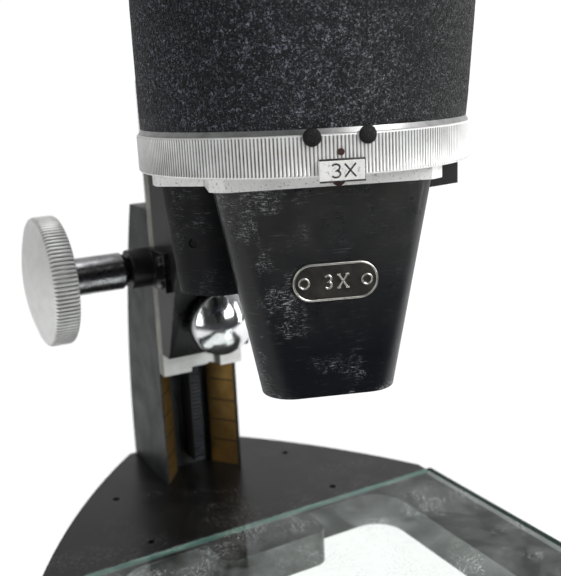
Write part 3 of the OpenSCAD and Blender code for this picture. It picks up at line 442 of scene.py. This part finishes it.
def stage_glass():
    """Float glass: the large faces let light through, the cut edges are green with painted light and
    a painted glow.
    """
    g = Graph("clear_glass")
    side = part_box("stage_glass")[1].x
    geometry = g.node("NewGeometry")
    upright = g.node("SeparateXYZ", {0: geometry.outputs["Normal"]}).outputs[2]
    face = g.ramp(g.math("ABSOLUTE", upright), 0.4, 0.8)
    facing = g.node("VectorMath", {0: geometry.outputs["Normal"],
                                   1: geometry.outputs["Incoming"]},
                    operation="DOT_PRODUCT").outputs["Value"]
    grazing = g.math("POWER", g.math("SUBTRACT", 1.0, g.math("ABSOLUTE", facing)), 5.0)
    first = g.math("SUBTRACT", 1.0, geometry.outputs["Backfacing"])
    fresnel = g.math("MULTIPLY", first, g.ramp(grazing, 0.0, 1.0, 0.05, 1.0))
    smear = g.noise(45.0, 6.0, 0.65, 0.5)
    dust = dust_mask(g, 1100.0, 0.30, 50.0, 0.50)
    through = g.node("BsdfRefraction", {"Color": (0.965, 0.985, 0.975), "Roughness": 0.0,
                                        "IOR": 1.5}).outputs[0]
    mirror = g.node("BsdfGlossy", {"Color": (0.95, 1.0, 0.98),
                                   "Roughness": g.ramp(smear, 0.4, 0.8, 0.015, 0.09)}).outputs[0]
    powder = g.node("BsdfDiffuse", {"Color": (0.75, 0.77, 0.76)}).outputs[0]
    clear = g.node("MixShader", {0: fresnel, 1: through, 2: mirror}).outputs[0]
    haze = g.math("ADD", g.math("MULTIPLY", g.ramp(smear, 0.40, 0.75), 0.16),
                  g.math("MULTIPLY", dust, 0.8))
    dusty = g.node("MixShader", {0: haze, 1: clear, 2: powder}).outputs[0]
    # Painted reflection: the dark inside of the two side edges, as seen down through the top face,
    # painted on as a dark band
    across = g.math("ABSOLUTE", g.across()[0])
    rim = g.ramp(across, side - GLASS_RIM - 0.3 * MM, side - GLASS_RIM, 0.0, 0.85)
    bottle = g.node("BsdfDiffuse", {"Color": (0.012, 0.022, 0.020)}).outputs[0]
    flat = g.node("MixShader", {0: rim, 1: dusty, 2: bottle}).outputs[0]
    # Cut edge: painted light, bright where it faces the light behind and dark bottle green
    # elsewhere; its emission is a painted glow
    streak = g.noise(1.0, 3.0, 0.6, 0.0, g.stretched((60.0, 60.0, 900.0)))
    lean = g.node("SeparateXYZ", {0: geometry.outputs["Normal"]}).outputs[1]
    bright = g.ramp(lean, -0.2, 0.9)
    green = g.mix(bright, (0.025, 0.070, 0.058), (0.34, 0.58, 0.49))
    green = g.mix(g.math("MULTIPLY", g.ramp(streak, 0.4, 0.7), 0.5), green,
                  (0.14, 0.27, 0.23))
    edge = g.node("BsdfPrincipled", {"Base Color": green, "Roughness": 0.12,
                                     "Emission Color": green,
                                     "Emission Strength": 0.35}).outputs[0]
    body = g.node("MixShader", {0: face, 1: edge, 2: flat}).outputs[0]
    shadow = g.node("LightPath").outputs["Is Shadow Ray"]
    lit = g.node("BsdfTransparent", {"Color": (0.85, 0.92, 0.89)}).outputs[0]
    g.end(g.node("MixShader", {0: shadow, 1: body, 2: lit}).outputs[0])
    return g.material


MATERIALS = {
    "black_casting": casting_enamel(), "grey_casting": column_enamel(),
    "black_wrinkle": wrinkle_paint(), "black_gloss": gloss_enamel(), "rubber": rubber(),
    "clear_glass": stage_glass(), "optical_glass": optical_glass(),
    "ground_steel": ground_steel(), "steel": turned_steel(), "brass": way_brass(),
    "knurled_aluminium": knurled_aluminium(), "chrome": chrome_plate(),
    "black_anodised": anodised(), "red_enamel": red_enamel(),
}
INK_AND_SHADE = ink()
SILVER = bright_silver()
PINS = pitted_black()
# Shaded copy for the side housings: duller, with fewer scuffs and a darker painted top reflection
SHADED = gloss_enamel("black_gloss_dull_shaded", 0.7)
# Nodes that look different from the rest of their slot
OWN_MATERIALS = {
    # The set screws are dark steel; their dull pitted black also paints the shade inside their holes
    "index_pins": PINS, "set_screws": PINS, "drum_band": polished_band(),
    "rack": greasy_steel(), "slide": slide_steel(), "housing_1x": SHADED, "housing_2x": SHADED,
}


# ---------------------------------------------------------------- mesh helpers

def add_piece(name, mesh, body, slot, material=None, stands_for=()):
    """Puts a finished mesh into the scene, on a CAD body, with the material of its record slot
    unless one is given.
    """
    piece = bpy.data.objects.new(name, mesh)
    bpy.context.scene.collection.objects.link(piece)
    mesh.materials.clear()
    mesh.materials.append(material or MATERIALS[slot])
    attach(piece, body)
    if stands_for:
        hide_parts(*stands_for)
    return piece


def mesh_from(name, verts, faces, cavity=None, sharp_deg=40):
    mesh = bpy.data.meshes.new(name)
    mesh.from_pydata([tuple(v) for v in verts], [], faces)
    mesh.validate()
    if cavity:
        data = mesh.attributes.new("cavity", "FLOAT", "POINT").data
        data.foreach_set("value", cavity)
    mesh.shade_smooth()
    mesh.set_sharp_from_angle(angle=math.radians(sharp_deg))
    return mesh


def lathe(name, profile, ribs=0, wave=(0.0, 0.35, 1.0, 0.35), segments=128, place=None,
          sharp_deg=40):
    """Turned part. profile is (radius, height, rib depth) in mm; ribs are cut straight.
    A radius of 0 at an end closes that end; otherwise the profile is a closed loop."""
    count = ribs * len(wave) if ribs else segments
    place = place or Matrix.Identity(4)
    verts, faces, cavity, rings = [], [], [], []
    for radius, height, depth in profile:
        if radius <= 1e-6:
            rings.append([len(verts)] * count)
            verts.append(place @ Vector((0, 0, height * MM)))
            cavity.append(0.0)
            continue
        rings.append(list(range(len(verts), len(verts) + count)))
        for i in range(count):
            cut = wave[i % len(wave)] if ribs else 0.0
            r = (radius - depth * cut) * MM
            a = TAU * i / count
            verts.append(place @ Vector((r * math.cos(a), r * math.sin(a), height * MM)))
            cavity.append(cut if depth > 0.01 else 0.0)
    loops = list(zip(rings, rings[1:]))
    if profile[0][0] > 1e-6:
        loops.append((rings[-1], rings[0]))
    for low, high in loops:
        for i in range(count):
            j = (i + 1) % count
            corners = [low[i], low[j], high[j], high[i]]
            face = [c for k, c in enumerate(corners) if c not in corners[:k]]
            if len(face) > 2:
                faces.append(face)
    mesh = mesh_from(name, verts, faces, cavity, sharp_deg)
    face_outwards(mesh)
    return mesh


def face_outwards(mesh):
    bm = bmesh.new()
    bm.from_mesh(mesh)
    bmesh.ops.recalc_face_normals(bm, faces=bm.faces)
    bm.to_mesh(mesh)
    bm.free()


def tubes(name, paths, width_mm, height_mm, place):
    """Flattened round strokes along paths of (x, y) mm, lying on the plane of place."""
    sides = 8
    verts, faces = [], []
    for path in paths:
        closed = path[0] == path[-1]
        points = [Vector((x, y, 0)) for x, y in (path[:-1] if closed else path)]
        rows = []
        for i, p in enumerate(points):
            before = points[i - 1] if (closed or i) else p
            after = points[(i + 1) % len(points)] if (closed or i < len(points) - 1) else p
            along = (after - before).normalized()
            across = Vector((-along.y, along.x, 0))
            sharp = 1.0
            if before != p and after != p:
                sharp = max(0.5, math.cos((after - p).angle(p - before) / 2))
            rows.append([len(verts) + k for k in range(sides)])
            for k in range(sides):
                a = TAU * k / sides
                q = p + across * (width_mm / 2 * math.cos(a) / sharp)
                q = q + Vector((0, 0, height_mm * math.sin(a)))
                verts.append(place @ (q * MM))
        pairs = list(zip(rows, rows[1:])) + ([(rows[-1], rows[0])] if closed else [])
        for low, high in pairs:
            for k in range(sides):
                m = (k + 1) % sides
                faces.append([low[k], low[m], high[m], high[k]])
        if not closed:
            faces.append(rows[0][::-1])
            faces.append(rows[-1])
    mesh = mesh_from(name, verts, faces, sharp_deg=60)
    face_outwards(mesh)
    return mesh


def arc(cx, cy, r, start, end, steps=12):
    """Points of an arc in degrees, from start to end."""
    angles = [math.radians(start + (end - start) * i / steps) for i in range(steps + 1)]
    return [(cx + r * math.cos(a), cy + r * math.sin(a)) for a in angles]


GLYPHS = {
    "1": [[(0.12, 0.80), (0.30, 1.0), (0.30, 0.0)]],
    "2": [arc(0.30, 0.72, 0.27, 165, -38) + [(0.02, 0.0), (0.60, 0.0)]],
    "3": [arc(0.28, 0.75, 0.24, 150, -90, 14) + arc(0.28, 0.26, 0.26, 90, -150, 14)[1:]],
    "X": [[(0.0, 0.0), (0.66, 1.0)], [(0.0, 1.0), (0.66, 0.0)]],
}


def write(text, height, gap, stretch=1.0):
    """Stroke paths of a short label, centred on the origin, in mm."""
    paths, x = [], 0.0
    for letter in text:
        for path in GLYPHS[letter]:
            paths.append([(x + px * height * stretch, (py - 0.5) * height) for px, py in path])
        x += 0.62 * height * stretch + gap
    shift = (x - gap) / 2
    return [[(px - shift, py) for px, py in path] for path in paths]


def finished_copy(node, bevel_mm):
    """A copy of a CAD node with its edges broken; it stands for the node. A node whose
    faces can't be merged without a change of shape is left as it is."""
    sharp = math.radians(30)
    weld, flat, tolerance = 3e-6, math.radians(0.4), 0.001
    mesh = NODES[node].data.copy()
    mesh.name = node + "_mesh"
    bm = bmesh.new()
    bm.from_mesh(mesh)
    bmesh.ops.remove_doubles(bm, verts=bm.verts, dist=weld)
    area, volume = sum(f.calc_area() for f in bm.faces), bm.calc_volume()
    bmesh.ops.dissolve_limit(bm, angle_limit=flat, verts=bm.verts, edges=bm.edges)
    kept = (abs(sum(f.calc_area() for f in bm.faces) - area) < tolerance * area
            and abs(bm.calc_volume() - volume) < tolerance * abs(volume))
    bm.to_mesh(mesh)
    bm.free()
    if not kept:
        bpy.data.meshes.remove(mesh)
        return
    for name in ("custom_normal", "sharp_face", "sharp_edge"):
        if name in mesh.attributes:
            mesh.attributes.remove(mesh.attributes[name])
    mesh.shade_smooth()
    mesh.set_sharp_from_angle(angle=sharp)
    piece = add_piece(node + "_finished", mesh, NODES[node]["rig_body"], SLOTS[node],
                      OWN_MATERIALS.get(node), (node,))
    broken = piece.modifiers.new("broken_edges", "BEVEL")
    broken.width = bevel_mm * MM
    broken.segments = 2
    broken.limit_method = "ANGLE"
    broken.angle_limit = sharp
    broken.use_clamp_overlap = True
    broken.harden_normals = True


# ---------------------------------------------------------------- carried CAD nodes

for node_name, node_object in NODES.items():
    node_object.data.materials.clear()
    look = OWN_MATERIALS.get(node_name) or MATERIALS[SLOTS[node_name]]
    node_object.data.materials.append(look)

for node_name, bevel_mm in (
        ("base_casting", 0.8), ("column", 0.6), ("arm", 0.7), ("slide", 0.3),
        ("mount_plates", 0.45), ("bearing_plates", 0.4), ("head_deck", 0.8),
        ("prism_case", 1.4), ("prism_housing_left", 1.0), ("prism_housing_right", 1.0),
        ("housing_3x", 0.5), ("housing_2x", 0.5), ("housing_1x", 0.5),
        ("stage_glass", 0.4), ("label_plates", 0.15), ("nameplate", 0.12)):
    finished_copy(node_name, bevel_mm)


# ---------------------------------------------------------------- drum

def circle_centre(a, b, c):
    """Centre of the circle through three points, in plan."""
    d = 2 * (a.x * (b.y - c.y) + b.x * (c.y - a.y) + c.x * (a.y - b.y))
    sa, sb, sc = a.xy.length_squared, b.xy.length_squared, c.xy.length_squared
    return Vector(((sa * (b.y - c.y) + sb * (c.y - a.y) + sc * (a.y - b.y)) / d,
                   (sa * (c.x - b.x) + sb * (a.x - c.x) + sc * (b.x - a.x)) / d, 0))


def drum_paint():
    """The thick wrinkled paint on the leaning side of the drum, as its own closed skin."""
    points = [v.co - AXIS for v in NODES["drum_body"].data.vertices]
    smallest_rim = 53 * MM
    outside = [p for p in points if p.xy.length > smallest_rim]
    low = min(v.z for v in outside)
    high = max(v.z for v in outside)
    rims = []
    for level in (low, high):
        rim = [v for v in outside if abs(v.z - level) < 0.05 * MM]
        far = max(rim, key=lambda v: v.xy.length)
        spread = sorted(rim, key=lambda v: (v - far).length)
        side_a = spread[len(spread) // 2]
        side_b = max(spread, key=lambda v: (v - side_a).length)
        centre = circle_centre(far, side_a, side_b)
        rims.append((centre, (far.xy - centre.xy).length))
    around, up = 1200, 150
    lift, depth, bury = 0.05 * MM, 0.30 * MM, 0.3 * MM
    margin = 0.25 * MM
    verts, faces = [], []

    def skin_point(t, a, out):
        centre = rims[0][0].lerp(rims[1][0], t)
        radius = rims[0][1] * (1 - t) + rims[1][1] * t + out
        return AXIS + Vector((centre.x + radius * math.cos(a), centre.y + radius * math.sin(a),
                              low + margin + (high - low - 2 * margin) * t))

    for j in range(up + 1):
        t = j / up
        fade = min(1.0, 6 * t + 0.15, 6 * (1 - t) + 0.15)
        for i in range(around):
            a = TAU * i / around
            p = skin_point(t, a, 0.0)
            folds = noise.noise(p * 1050) * 0.6 + noise.noise(p * 1900) * 0.4
            ridge = 1.0 - min(1.0, abs(folds) * 2.6)
            swell = noise.noise(p * 120) * 0.25
            verts.append(skin_point(t, a, lift + depth * fade * max(0.0, ridge * 0.75 + swell)))
    for t in (0.0, 1.0):
        verts.extend(skin_point(t, TAU * i / around, -bury) for i in range(around))
    for j in range(up):
        for i in range(around):
            k = (i + 1) % around
            faces.append([j * around + i, j * around + k, (j + 1) * around + k,
                          (j + 1) * around + i])
    inner_low, inner_high, top = (up + 1) * around, (up + 2) * around, up * around
    for i in range(around):
        k = (i + 1) % around
        faces.append([inner_low + i, inner_low + k, k, i])
        faces.append([top + i, top + k, inner_high + k, inner_high + i])
        faces.append([inner_high + i, inner_high + k, inner_low + k, inner_low + i])
    mesh = mesh_from("drum_paint", verts, faces, sharp_deg=80)
    face_outwards(mesh)
    add_piece("drum_paint", mesh, "head", "black_wrinkle")


drum_paint()


# ---------------------------------------------------------------- ribbed and turned parts

def ribbed_ring():
    """Turret ring with its straight ribs."""
    low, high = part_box("turret_ring")
    outer = (high.x - low.x) / 2 / MM
    inner = (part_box("turret_disc")[1].x - AXIS.x) / MM
    tall = (high.z - low.z) / MM
    cut, ribs = 0.42, 312
    profile = [(inner, 0, 0), (outer - 0.5, 0, 0), (outer - 0.08, 0.42, 0), (outer, 0.6, 0.05),
               (outer, 0.85, cut), (outer, tall - 0.75, cut), (outer, tall - 0.5, 0.05),
               (outer - 0.05, tall - 0.4, 0), (outer - 0.45, tall, 0), (inner, tall, 0)]
    place = Matrix.Translation((AXIS.x, AXIS.y, low.z))
    mesh = lathe("turret_ring_ribbed", profile, ribs=ribs, place=place, sharp_deg=50)
    add_piece("turret_ring_ribbed", mesh, "turret", "knurled_aluminium",
              stands_for=("turret_ring",))


def focus_knobs():
    """Knobs with straight ribs and a gently domed face, on a hub at the sleeve."""
    for side, node in ((-1, "focus_knob_left"), (1, "focus_knob_right")):
        low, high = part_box(node)
        centre = centre_of(node)
        outer = (high.y - low.y) / 2 / MM
        near = min(abs(low.x), abs(high.x)) / MM
        far = max(abs(low.x), abs(high.x)) / MM
        rim = far - 5.6
        dome = far - rim - 1.0
        flat = outer - 1.6
        cut = 0.5
        profile = [(0, near + 6, 0), (2.5, near + 6, 0), (2.5, near + 0.5, 0),
                   (10, near + 0.5, 0), (12, near, 0), (outer - 1.3, near, 0),
                   (outer - 0.5, near + 0.5, 0.02), (outer, near + 1.3, cut),
                   (outer, rim - 0.5, cut), (outer - 0.6, rim + 0.4, 0.02), (flat, rim + 1, 0)]
        for i in range(1, 15):
            r = flat * (1 - i / 15)
            profile.append((r, rim + 1 + dome * (1 - (r / flat) ** 2), 0))
        profile.append((0, far, 0))
        turn = Matrix.Rotation(math.radians(90 * side), 4, "Y")
        place = Matrix.Translation((0, centre.y, centre.z)) @ turn
        mesh = lathe(node + "_ribbed", profile, ribs=100, place=place)
        add_piece(node + "_ribbed", mesh, "focus_pinion", "knurled_aluminium",
                  stands_for=(node,))


def clamp_dome():
    """Polished dome of the friction clamp with a fine serrated rim."""
    low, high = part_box("clamp_knob")
    centre = centre_of("clamp_knob")
    outer = (high.x - low.x) / 2 / MM
    deep = (high.y - low.y) / MM
    rim = deep - 6.1
    back = rim - 7.0
    flat = outer - 0.9
    profile = [(0, rim, 0), (3, rim, 0), (3, 0, 0), (6.9, 0, 0), (6.9, back, 0),
               (outer - 1.2, back, 0), (outer - 0.3, back + 0.5, 0.02),
               (outer, back + 1.1, 0.22), (outer, rim - 0.6, 0.22), (outer - 0.3, rim, 0.02),
               (flat, rim + 0.45, 0)]
    for i in range(1, 17):
        r = flat * (1 - i / 17)
        profile.append((r, rim + 0.45 + (deep - rim - 0.45) * (1 - (r / flat) ** 2), 0))
    profile.append((0, deep, 0))
    turn = Matrix.Rotation(math.radians(90), 4, "X")
    place = Matrix.Translation((centre.x, high.y, centre.z)) @ turn
    mesh = lathe("clamp_knob_polished", profile, ribs=84, place=place)
    add_piece("clamp_knob_polished", mesh, "slide_clamp", "chrome", stands_for=("clamp_knob",))


ribbed_ring()
focus_knobs()
clamp_dome()


# ---------------------------------------------------------------- labels

def islands(node):
    """Vertex lists of the separate solids of a CAD node."""
    bm = bmesh.new()
    bm.from_mesh(NODES[node].data)
    bmesh.ops.remove_doubles(bm, verts=bm.verts, dist=3e-6)
    left, found = set(bm.verts), []
    while left:
        queue, group = [left.pop()], []
        while queue:
            v = queue.pop()
            group.append(v.co.copy())
            for e in v.link_edges:
                other = e.other_vert(v)
                if other in left:
                    left.remove(other)
                    queue.append(other)
        found.append(group)
    bm.free()
    return found


def box_of(points):
    low = Vector([min(p[i] for p in points) for i in range(3)])
    high = Vector([max(p[i] for p in points) for i in range(3)])
    return low, high


def frame_at(origin, normal):
    """Matrix with Z along normal and Y as near to upwards as it can be."""
    z = normal.normalized()
    x = Vector((0, 0, 1)).cross(z).normalized()
    y = z.cross(x)
    made = Matrix((x, y, z)).transposed().to_4x4()
    made.translation = origin
    return made


def ring_labels():
    """Magnification engraved on each label plate, with a dark frame round the plate as painted shade
    of the gap.
    """
    plates = sorted(islands("label_plates"), key=lambda g: sum((p.y for p in g)) / len(g))
    order = {}
    for group in plates:
        middle = sum(group, Vector()) / len(group) - AXIS
        order[round(math.degrees(math.atan2(middle.y, middle.x)))] = group
    angles = sorted(order)
    to_plate = centre_of("nameplate") - AXIS
    aim = math.degrees(math.atan2(to_plate.y, to_plate.x))
    front = min(angles, key=lambda a: abs(a - aim))
    texts = {front: "3X"}
    for a in angles:
        if a != front:
            texts[a] = "1X" if (a - front) % 360 < 180 else "2X"
    paths_ink, paths_shade_frame = [], []
    for a, group in order.items():
        radial = Vector((math.cos(math.radians(a)), math.sin(math.radians(a)), 0))
        low, high = box_of(group)
        reach = max((p - AXIS).dot(radial) for p in group)
        side = Vector((0, 0, 1)).cross(radial)
        half = max((p - AXIS).dot(side) for p in group) / MM
        tall = (high.z - low.z) / MM
        place = frame_at(AXIS + radial * reach + Vector((0, 0, (low.z + high.z) / 2)), radial)
        paths_ink.append((write(texts[a], 3.7, 0.9, 1.3), place))
        # A dark frame round each plate paints the shade in the gap between plate and ribs
        w, h = half + 0.18, tall / 2 + 0.18
        paths_shade_frame.append(([[(-w, -h), (w, -h), (w, h), (-w, h), (-w, -h)]],
                          place @ Matrix.Translation((0, 0, -0.75 * MM))))
    for name, sets, width, height in (("label_marks", paths_ink, 0.5, 0.05),
                                      ("label_shade_frames", paths_shade_frame, 0.55, 0.35)):
        for i, (paths, place) in enumerate(sets):
            mesh = tubes(f"{name}_{i}", paths, width, height, place)
            add_piece(f"{name}_{i}", mesh, "turret", "black_anodised", INK_AND_SHADE)


def nameplate_details():
    """Raised rim and figures of the nameplate, and its two eyelet screws."""
    points = [v.co for v in NODES["nameplate"].data.vertices]
    low, high = box_of(points)
    best, normal = 0.0, None
    for face in NODES["nameplate"].data.polygons:
        if face.area > best and face.normal.y < -0.5:
            best, normal = face.area, face.normal.copy()
    middle = (low + high) / 2
    reach = max(p.dot(normal) for p in points)
    place = frame_at(middle + normal * (reach - middle.dot(normal)), normal)
    inverse = place.inverted()
    half_w = max((inverse @ p).x for p in points) / MM
    half_h = max((inverse @ p).y for p in points) / MM
    straight = half_w - half_h
    r = half_h - 0.32
    rim = arc(straight, 0, r, -90, 90, 18) + arc(-straight, 0, r, 90, 270, 18)
    rim.append(rim[0])
    add_piece("nameplate_rim", tubes("nameplate_rim", [rim], 0.72, 0.3, place), "turret",
              "ground_steel", SILVER)
    figures = write("3X", 4.1, 1.9)
    serif = 0.55
    for corner in (*figures[1], *figures[2]):
        figures.append([(corner[0] - serif, corner[1]), (corner[0] + serif, corner[1])])
    add_piece("nameplate_figures", tubes("nameplate_figures", figures, 0.62, 0.22, place),
              "turret", "ground_steel", SILVER)
    for i, group in enumerate(islands("nameplate_screws")):
        c_low, c_high = box_of(group)
        centre = (c_low + c_high) / 2
        local = inverse @ centre
        spot = place @ Matrix.Translation((local.x, local.y, 0))
        profile = [(0, -0.3, 0), (1.0, -0.3, 0), (1.85, 0.0, 0), (1.85, 0.22, 0),
                   (1.68, 0.38, 0), (1.48, 0.38, 0), (1.34, 0.22, 0), (1.24, 0.05, 0),
                   (0.5, 0.02, 0), (0, 0.05, 0)]
        mesh = lathe(f"nameplate_eyelet_{i}", profile, segments=48, place=spot, sharp_deg=60)
        cavity = mesh.attributes["cavity"].data
        for v in mesh.vertices:
            p = (spot.inverted() @ v.co) / MM
            cavity[v.index].value = 1.0 if p.xy.length < 1.3 else 0.0
        piece = add_piece(f"nameplate_eyelet_{i}", mesh, "turret", "ground_steel", SILVER)
        if i == 0:
            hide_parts("nameplate_screws")


ring_labels()
nameplate_details()


# ---------------------------------------------------------------- floor, light and camera

def floor():
    """White table. A dark card lies on it, out of sight, where black faces mirror it."""
    mesh = bpy.data.meshes.new("floor")
    size = 6.0
    mesh.from_pydata([(-size, -size, 0), (size, -size, 0), (size, size, 0), (-size, size, 0)],
                     [], [[0, 1, 2, 3]])
    plane = bpy.data.objects.new("floor", mesh)
    bpy.context.scene.collection.objects.link(plane)
    g = Graph("floor")
    path = g.node("LightPath")
    depth = g.across()[1]
    card = g.math("MULTIPLY", path.outputs["Is Glossy Ray"], g.ramp(depth, -0.10, -0.22))
    cloth = g.node("BsdfDiffuse", {"Color": g.mix(g.noise(6.0), (0.93, 0.93, 0.93),
                                                  (0.95, 0.95, 0.95))}).outputs[0]
    glow = g.node("Emission", {"Color": (1.0, 1.0, 1.0), "Strength": WHITE_GLOW}).outputs[0]
    black = g.node("Emission", {"Color": (0.05, 0.05, 0.055), "Strength": 1.0}).outputs[0]
    seen = g.math("MAXIMUM", path.outputs["Is Camera Ray"], path.outputs["Is Transmission Ray"])
    seen = g.math("MULTIPLY", seen, 0.97)
    pale = g.node("MixShader", {0: seen, 1: cloth, 2: glow}).outputs[0]
    g.end(g.node("MixShader", {0: card, 1: pale, 2: black}).outputs[0])
    mesh.materials.append(g.material)


def backdrop():
    """White studio: plain white to the eye, dimmer to the left and front in reflections."""
    world = bpy.data.worlds.new("studio")
    bpy.context.scene.world = world
    g = Graph("studio", world)
    to_right, to_back, _ = g.across()
    dimmed = g.math("MULTIPLY", g.ramp(to_back, -0.55, 0.35, 0.07, 0.95),
                    g.ramp(to_right, -0.9, 0.5, 0.24, 0.9))
    path = g.node("LightPath")
    seen = g.math("MAXIMUM", path.outputs["Is Camera Ray"], path.outputs["Is Transmission Ray"])
    strength = g.node("Mix", {0: seen, 2: dimmed, 3: WHITE_GLOW}).outputs[0]
    light = g.node("Background", {"Color": (1.0, 1.0, 1.0), "Strength": strength})
    g.node("OutputWorld", {0: light.outputs[0]})


def softbox(name, at, towards, width, height, power):
    data = bpy.data.lights.new(name, "AREA")
    data.shape = "RECTANGLE"
    data.size, data.size_y = width, height
    data.energy = power
    lamp = bpy.data.objects.new(name, data)
    lamp.location = at
    lamp.rotation_euler = (Vector(at) - Vector(towards)).to_track_quat("Z", "Y").to_euler()
    bpy.context.scene.collection.objects.link(lamp)


def camera():
    """Camera at the photographer's place, focused on the nameplate."""
    yaw, pitch, roll = (math.radians(v) for v in (EYE_YAW, EYE_PITCH, EYE_ROLL))
    out = Vector((math.sin(yaw) * math.cos(pitch), math.cos(yaw) * math.cos(pitch),
                  -math.sin(pitch)))
    right = Vector((math.cos(yaw), -math.sin(yaw), 0))
    up = right.cross(out)
    x = right * math.cos(roll) + up * math.sin(roll)
    y = up * math.cos(roll) - right * math.sin(roll)
    data = bpy.data.cameras.new("camera")
    data.sensor_width = 36
    data.lens = data.sensor_width * EYE_FOCAL
    data.clip_start = 0.01
    eye = bpy.data.objects.new("camera", data)
    eye.matrix_world = Matrix((x, y, -out)).transposed().to_4x4()
    eye.matrix_world.translation = AXIS + Vector(EYE)
    bpy.context.scene.collection.objects.link(eye)
    focus = bpy.data.objects.new("focus", None)
    focus.location = centre_of("nameplate")
    bpy.context.scene.collection.objects.link(focus)
    data.dof.use_dof = True
    data.dof.focus_object = focus
    data.dof.aperture_fstop = 22
    bpy.context.scene.camera = eye


floor()
backdrop()
middle = (cad_box[0] + cad_box[1]) / 2
softbox("key", (0.42, -0.85, 0.70), middle, 0.5, 0.7, 11)
softbox("strip", (0.62, -0.30, 0.22), middle, 0.08, 0.6, 0.9)
softbox("fill", (-0.85, -0.55, 0.40), middle, 0.2, 0.8, 1.6)
softbox("top", (0.1, -0.1, 1.3), middle, 0.8, 0.8, 5)
camera()
bpy.context.scene.view_settings.view_transform = "Standard"
